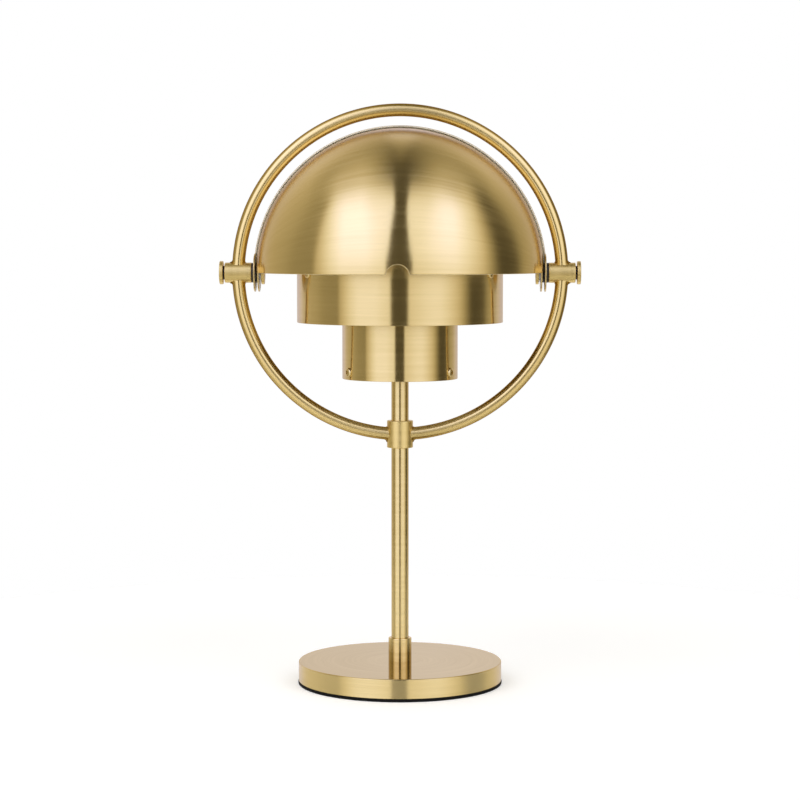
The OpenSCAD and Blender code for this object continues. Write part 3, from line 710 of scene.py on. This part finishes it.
# %% Bend the ring's tubes
braze_radius = 2.2 * mm
boss_radius = (pivot_high.z - pivot_low.z) / 2
sleeve_radius = box_radius("ring_bottom_boss")
# The tubes end inside the bosses. boss_sink is how far an end lies from the boss's axis.
end_inside = 2.2 * mm
boss_sink = {boss: boss - end_inside for boss in (boss_radius, sleeve_radius)}


def braze(distance, boss, sideways):
    """How far the fillet stands out from the tube at a distance from the boss's axis. sideways is the
    sine of the turn round the tube, which is 1 where the boss curves away."""
    centre = math.sqrt((boss + braze_radius) ** 2
                       - ((ring_tube_radius + braze_radius) * sideways) ** 2)
    foot = centre * boss / (boss + braze_radius)
    fall = centre - max(distance, foot)
    return braze_radius - math.sqrt(max(0.0, braze_radius ** 2 - fall ** 2)) if fall > 0 else 0.0


def ring_runs(length):
    """Where the rows of a tube lie along it: close together near its ends, where the fillet curves."""
    near, near_rows, middle_rows = 13 * mm, 52, 140
    ends = [near * n / near_rows for n in range(near_rows)]
    middle = [near + (length - 2 * near) * n / middle_rows for n in range(middle_rows + 1)]
    return ends + middle + [length - run for run in reversed(ends)]


def ring_arc(from_turn, to_turn, from_boss, to_boss, sides=56):
    """A length of the ring between two turns from +X towards +Z, with the radii of the bosses at its
    ends."""
    way = math.copysign(1.0, to_turn - from_turn)
    length = abs(to_turn - from_turn) * ring_radius
    runs = ring_runs(length)
    work, rows = Work(), []
    for run in runs:
        turn = from_turn + way * run / ring_radius
        out = Vector((math.cos(turn), 0, math.sin(turn)))
        row = []
        for k in range(sides):
            a = 2 * math.pi * k / sides
            grow = max(braze(run + boss_sink[from_boss], from_boss, math.sin(a)),
                       braze(length - run + boss_sink[to_boss], to_boss, math.sin(a)))
            side = out * math.cos(a) + Vector((0, math.sin(a), 0))
            row.append((pivot + out * ring_radius + side * (ring_tube_radius + grow), side))
        rows.append(row)
    work.grid(rows, lambda i, j: (runs[i], 2 * math.pi * ring_tube_radius * j / sides), wrap=True)
    return work


side_turn = math.asin(boss_sink[boss_radius] / ring_radius)
sleeve_turn = math.asin(boss_sink[sleeve_radius] / ring_radius)
for name, low_turn, high_turn, low_boss, high_boss in (
        ("ring_upper_arc", side_turn, math.pi - side_turn, boss_radius, boss_radius),
        ("ring_lower_right_arc", sleeve_turn - math.pi / 2, -side_turn, sleeve_radius, boss_radius),
        ("ring_lower_left_arc", math.pi + side_turn, 1.5 * math.pi - sleeve_turn, boss_radius,
         sleeve_radius)):
    work = ring_arc(low_turn, high_turn, low_boss, high_boss)
    piece = finished(work.build(name + "_brass", tube_brass), "stand", name)
    # The fillet turns the surface away from the stored directions, so the mesh works out its own.
    piece.data.normals_split_custom_set([(0, 0, 0)] * len(piece.data.loops))

# %% [markdown]
# ## Pivots
# Each pivot is a pin with a disc head that runs through a boss, friction washers, both shades' ears and
# a spring washer, with a disc nut inside. They are all turned about the pivots' axis, so one helper lays
# a sweep on its side and mirrors it. The places along the pin follow from what is stacked on it, from
# the boss inwards.

# %% Mix the black and grey washers
washer_black = grainy("black_friction_washer", (900.0, 3.0),
                      ((0.012, 0.012, 0.013), (0.026, 0.026, 0.027)), (0.38, 0.52),
                      relief=(0.3, 0.03 * mm))
zinc = grainy("zinc_plated_steel", (420.0, 3.0), ((0.60, 0.61, 0.62), (0.66, 0.66, 0.65)), (0.27, 0.33),
              relief=(0.10, 0.02 * mm), Metallic=1.0)


# %% Lay a sweep on the pivots' axis
def on_pivot(side):
    """Lays a point and direction of a sweep on the pivots' axis, outwards on one side."""
    def place(spot, way):
        return (Vector((side * spot.z, spot.y, pivot_z + spot.x)),
                Vector((side * way.z, way.y, way.x)))
    return place


both_sides = (on_pivot(-1), on_pivot(1))

# %% Turn the bosses and the pins
boss_in, boss_out = pivot_low.x, pivot_high.x
boss_outline = ring_outline(pin_hole_radius, boss_radius, boss_in, boss_out, 0.7 * mm, 0.2 * mm)
for name, side in (("right_pivot_boss", 1), ("left_pivot_boss", -1)):
    turned_piece(name, boss_outline, satin_brass, [on_pivot(side)], 96)

pin_low, pin_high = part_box("right_pivot_pin")
pin_in, pin_out = pin_low.x, pin_high.x
pin_head_radius = (pin_high.z - pin_low.z) / 2
pin_head_in = pin_out - 3.0 * mm
pin_radius = 3.0 * mm
pin_core = 0.02 * mm
pin_outline = rounded(
    [(pin_radius, pin_in), (pin_radius, pin_head_in), (pin_head_radius, pin_head_in),
     (pin_head_radius, pin_out), (pin_core, pin_out), (pin_core, pin_in)],
    [0.3 * mm, 0.1 * mm, 0.6 * mm, 0.6 * mm, 0.0, 0.0])
for name, side in (("right_pivot_pin", 1), ("left_pivot_pin", -1)):
    turned_piece(name, pin_outline, satin_brass, [on_pivot(side)], 96)

# %% Turn the washers and nuts
neck_washer_radius = 5.85 * mm
friction_washer_radius = 8.5 * mm
friction_washer_thick = 2.3 * mm
spring_washer_radius = 8.0 * mm
spring_washer_thick = 1.6 * mm
nut_radius = 10.0 * mm
nut_thick = 2.4 * mm
back_ear_out = boss_in - friction_washer_thick
inner_washer_out = back_ear_out - shade_sheet
front_ear_out = inner_washer_out - friction_washer_thick
front_ear_in = front_ear_out - shade_sheet
nut_out = front_ear_in - spring_washer_thick
print("back ears at", round(back_ear_out / mm, 1), "front ears at", round(front_ear_out / mm, 1))
for name, radius, inner, outer in (
        ("neck_washers", neck_washer_radius, boss_out, pin_head_in),
        ("outer_friction_washers", friction_washer_radius, back_ear_out, boss_in),
        ("inner_friction_washers", friction_washer_radius, front_ear_out, inner_washer_out)):
    outline = ring_outline(pin_hole_radius, radius, inner, outer, 0.3 * mm, 0.1 * mm)
    turned_piece(name, outline, washer_black, both_sides, 96, "fibre")
outline = ring_outline(pin_hole_radius, spring_washer_radius, nut_out, front_ear_in, 0.3 * mm, 0.1 * mm)
turned_piece("spring_washers", outline, zinc, both_sides, 96, "steel")
outline = ring_outline(pin_hole_radius, nut_radius, nut_out - nut_thick, nut_out, 0.4 * mm, 0.2 * mm)
turned_piece("pivot_nuts", outline, satin_brass, both_sides, 96)

# %% [markdown]
# ## Shades
# Each shade is a quarter of a spun sphere. A round ear at each end turns on a pivot, and a half-round
# notch in the lower edge passes the stem. A sphere could be cut to this shape with booleans, but the
# cuts would leave thin faces that show as creases in polished brass. Here the middle of the sheet is
# laid out as a grid of rows from the lower edge to the top, which bends up round the notch. The two
# faces lie half a sheet to each side, and a half-round edge runs all the way round. The grain runs
# from pivot to pivot, so the grain map's U is the turn about the pivots' axis. The inside is painted
# white, and the paint wraps over most of the edge.

# %% Mix the white paint
enamel = grainy("white_enamel", (260.0, 3.0), ((0.82, 0.80, 0.74), (0.86, 0.84, 0.78)), (0.34, 0.46),
                relief=(0.3, 0.03 * mm), specks=(1500.0, 2.0))
sheet_half = shade_sheet / 2
notch_ease = 0.5 * mm
ear_edge = ear_recess + sheet_half  # where the middle of the sheet ends beside an ear


# %% Lay out the middle of a shade's sheet
def notch_line(x):
    """The height of the lower edge at x from its middle. The corner into the notch is eased."""
    inside = (notch_radius + sheet_half) ** 2 - x ** 2
    arch = math.sqrt(inside) - notch_drop if inside > 0 else -1.0
    gap = arch - sheet_half
    if gap > notch_ease:
        return arch
    if gap < -notch_ease:
        return sheet_half
    return sheet_half + (gap + notch_ease) ** 2 / (4 * notch_ease)


def column_ends(end, columns):
    """Where each column of the grid starts on the lower edge and ends at the top, from one ear to the
    other. The columns lie close together at the ears and, below, at the notch's corners."""
    mouth = math.sqrt((notch_radius + sheet_half) ** 2 - (notch_drop + sheet_half) ** 2) + 0.4 * mm
    side_columns = (columns - columns // 4) // 2
    quarter = 0.999 * math.pi / 2  # less than a quarter turn, so that the end columns stay apart
    ends = []
    for i in range(columns + 1):
        side_share = min(i, columns - i) / side_columns
        if side_share < 1:
            low_x = math.copysign(end * math.cos(side_share * math.acos(mouth / end)), 2 * i - columns)
        else:
            low_x = -mouth * math.cos((i - side_columns) / (columns - 2 * side_columns) * math.pi)
        top_x = end * math.sin((2 * i / columns - 1) * quarter) / math.sin(quarter)
        ends.append((low_x, top_x))
    return ends


def shade_sheet_rows(radius, front, columns, rows):
    """The grid of points in the middle of the sheet, with the pivots' axis through its origin."""
    middle = radius - sheet_half

    def out_from_axis(x):
        return math.sqrt(middle ** 2 - x ** 2)

    ends = column_ends(out_from_axis(ear_edge), columns)
    sheet = []
    for j in range(rows + 1):
        share = j / rows
        shift = share ** 0.8
        row = []
        for low_x, top_x in ends:
            x = low_x * (1 - shift) + top_x * shift
            out = out_from_axis(x)
            foot = math.asin(notch_line(low_x) / out_from_axis(low_x))
            head = math.pi / 2 - math.asin(sheet_half / out)
            rise = foot + (head - foot) * share
            row.append(Vector((x, front * out * math.cos(rise), out * math.sin(rise))))
        sheet.append(row)
    return sheet


# %% Give the sheet its faces, edge and ears
def rim_rows(sheet, front, steps=8):
    """The half-round edge of the sheet, once round, as rows that go from its outside to its inside."""
    rows, columns = len(sheet) - 1, len(sheet[0]) - 1
    once_round = ([(0, i) for i in range(columns)] + [(j, columns) for j in range(rows)]
                  + [(rows, i) for i in range(columns, 0, -1)] + [(j, 0) for j in range(rows, 0, -1)])
    edge = [sheet[j][i] for j, i in once_round]
    arcs = []
    for number, here in enumerate(edge):
        ahead, back = edge[(number + 1) % len(edge)], edge[number - 1]
        up = here.normalized()
        along = (ahead - here).normalized() + (here - back).normalized()
        out = along.normalized().cross(up) * (-front)
        out = (out - up * out.dot(up)).normalized()
        ways = [up * math.cos(math.pi * k / steps) + out * math.sin(math.pi * k / steps)
                for k in range(steps + 1)]
        arcs.append([(here + way * sheet_half, way) for way in ways])
    return arcs + [arcs[0]]


def shade(name, radius, front, ear_outer, columns=300, rows=120):
    """A quarter-sphere shade. front is -1 for the shade over the front and 1 for the one behind."""
    sheet = shade_sheet_rows(radius, front, columns, rows)
    work = Work()

    def add(rows_of_points, finish_of):
        """Adds rows round the pivots' axis, whose grain map's U is the turn about that axis."""
        placed = [[(point + pivot, normal) for point, normal in row] for row in rows_of_points]

        def grain(i, j):
            local = placed[i][j][0] - pivot
            return math.atan2(local.z, front * local.y) * radius, local.x
        work.grid(placed, grain, finish=finish_of)

    add([[(p + p.normalized() * sheet_half, p.normalized()) for p in row] for row in sheet], 0)
    add([[(p - p.normalized() * sheet_half, -p.normalized()) for p in row] for row in sheet], 1)
    bare_steps = 3
    add(rim_rows(sheet, front), lambda i, j: 2 if j < bare_steps else 1)
    ear_path = ring_outline(pin_hole_radius, ear_radius, ear_outer - shade_sheet + running_gap,
                            ear_outer - running_gap, 0.45 * mm, 0.15 * mm)
    for place in both_sides:
        turned(work, ear_path, place, 96, finish=lambda i, j: 1 if ear_path[i][1].y < -0.9 else 0)
    return work.build(name, shade_brass, enamel, edge_brass)


finished(shade("front_shade_brass", front_shade_radius, -1, front_ear_out), "front_shade",
         "front_shade")
finished(shade("back_shade_brass", back_shade_radius, 1, back_ear_out), "back_shade",
         "back_shade")

# %% [markdown]
# ## Screws
# Three button-head screws hold each cylinder. The head is a low dome with a hexagonal socket. A cut
# with a six-sided prism would leave a sharp, uneven rim. It is built as rings of points instead, which
# go from the middle of the socket's floor, by its six-sided rim, out to the round edge.

# %% Shape the button heads
head_height = 2.2 * mm
shank_radius = 2.0 * mm
socket_flat = 1.25 * mm
socket_depth = 1.2 * mm
socket_rim = 0.12 * mm
screw_turns = [math.radians(a) for a in (-150, -30, 90)]
# The dome's places: radius and depth below its top in mm, and how far the surface leans in degrees.
dome = ((1.75, 0.0, 8), (2.4, 0.12, 14), (3.0, 0.38, 24), (3.5, 0.78, 40), (3.82, 1.25, 60),
        (3.97, 1.75, 80), (4.0, 1.9, 90), (4.0, 2.5, 90))


def hexagon(turn):
    """The distance from the middle to the socket's side in a direction."""
    part = (turn + math.pi / 6) % (math.pi / 3) - math.pi / 6
    return socket_flat / math.cos(part)


def head_rings(sides):
    """The head's rings of (radius, turn, height, lean), from the socket's floor to the outer edge."""
    turns = [2 * math.pi * k / sides for k in range(sides)]
    rings = []
    for depth, lean in ((socket_depth, 0), (socket_depth, -90), (socket_rim, -90)):
        rings.append([(hexagon(a), a, head_height - depth, lean) for a in turns])
    for radius, depth, lean in dome:
        rings.append([(radius * mm, a, head_height - depth * mm, lean) for a in turns])
    return rings


# %% Set the screws round the cylinders
def button_heads(name, cylinder_radius, level, shank, sides=48):
    """Three screws round a cylinder, at a level above the table, with shanks through its wall."""
    work = Work()
    for turn in screw_turns:
        out = Vector((math.cos(turn), math.sin(turn), 0))
        aside, up = Vector((-math.sin(turn), math.cos(turn), 0)), Vector((0, 0, 1))
        seat = out * cylinder_radius + up * level
        rows = []
        for ring in head_rings(sides):
            row = []
            for r, a, z, lean in ring:
                across = aside * math.cos(a) + up * math.sin(a)
                tilt = math.radians(lean)
                row.append((seat + out * z + across * r, across * math.sin(tilt) + out * math.cos(tilt)))
            rows.append(row)
        centre = seat + out * (head_height - socket_depth)
        rows.insert(0, [(centre + (p - centre) * 0.02, out) for p, n in rows[0]])
        work.grid(rows, lambda i, j: (i * 0.5 * mm, 2 * math.pi * 3 * mm * j / sides), wrap=True)

        def place(spot, way):
            return (seat + out * spot.z + aside * spot.x + up * spot.y,
                    aside * way.x + up * way.y + out * way.z)
        turned(work, disc_outline(shank_radius, -shank, 0.1 * mm, 0.2 * mm), place, 32)
    return work.build(name, edge_brass)


lower_screws_z = heights("lower_cylinder")[0] + 6.6 * mm
finished(button_heads("drum_screws_brass", box_radius("drum"), pivot_z, 5.2 * mm), "stand",
         "drum_screws")
finished(button_heads("lower_cylinder_screws_brass", box_radius("lower_cylinder"), lower_screws_z,
                      5.4 * mm), "stand", "lower_cylinder_screws")

# %% [markdown]
# ## Hidden construction
# The pieces inside keep their CAD shapes, and a bevel modifier rounds their edges by a quarter of a
# millimetre. They still get real finishes, because they show from below and above and when the shades
# are swung away.

# %% Mix the finishes inside
black_moulding = grainy("black_moulding", (1400.0, 3.0), ((0.014, 0.014, 0.015), (0.024, 0.024, 0.025)),
                        (0.34, 0.46), relief=(0.3, 0.03 * mm))
ceramic = grainy("white_ceramic", (600.0, 3.0), ((0.74, 0.73, 0.70), (0.80, 0.79, 0.76)), (0.24, 0.34),
                 relief=(0.2, 0.03 * mm))
iron = grainy("cast_iron", (350.0, 5.0), ((0.05, 0.05, 0.052), (0.11, 0.11, 0.112)), (0.6, 0.8),
              relief=(0.7, 0.2 * mm), Metallic=0.6)
opal = grainy("opal_glass", (30.0, 3.0), ((0.86, 0.85, 0.83), (0.90, 0.89, 0.87)), (0.10, 0.14),
              Subsurface_Weight=0.2, Subsurface_Scale=4 * mm)
slot_finish = {"brushed_brass": edge_brass, "brushed_steel": zinc, "black_plastic": black_moulding,
               "black_rubber": rubber, "cast_iron": iron, "white_plastic": ceramic, "opal_glass": opal}
print("finishes:", len(bpy.data.materials))

# %% Finish the CAD nodes that show
kept = 0
for entry in frame["record"]["subparts"]:
    node = frame["nodes"][entry["node"]]
    if node.hide_render:
        continue
    node.data.materials.clear()
    node.data.materials.append(slot_finish[entry["material_slot"]])
    soften = node.modifiers.new("softened_edges", "BEVEL")
    soften.width = 0.25 * mm
    soften.segments = 2
    soften.limit_method = "ANGLE"
    soften.angle_limit = math.radians(35)
    soften.use_clamp_overlap = True
    soften.harden_normals = True
    for polygon in node.data.polygons:
        polygon.use_smooth = True
    kept += 1
print("CAD nodes shown:", kept)

# %% [markdown]
# ## The view transform
# Colours are shown through the plain Standard view transform.

bpy.context.scene.view_settings.view_transform = "Standard"
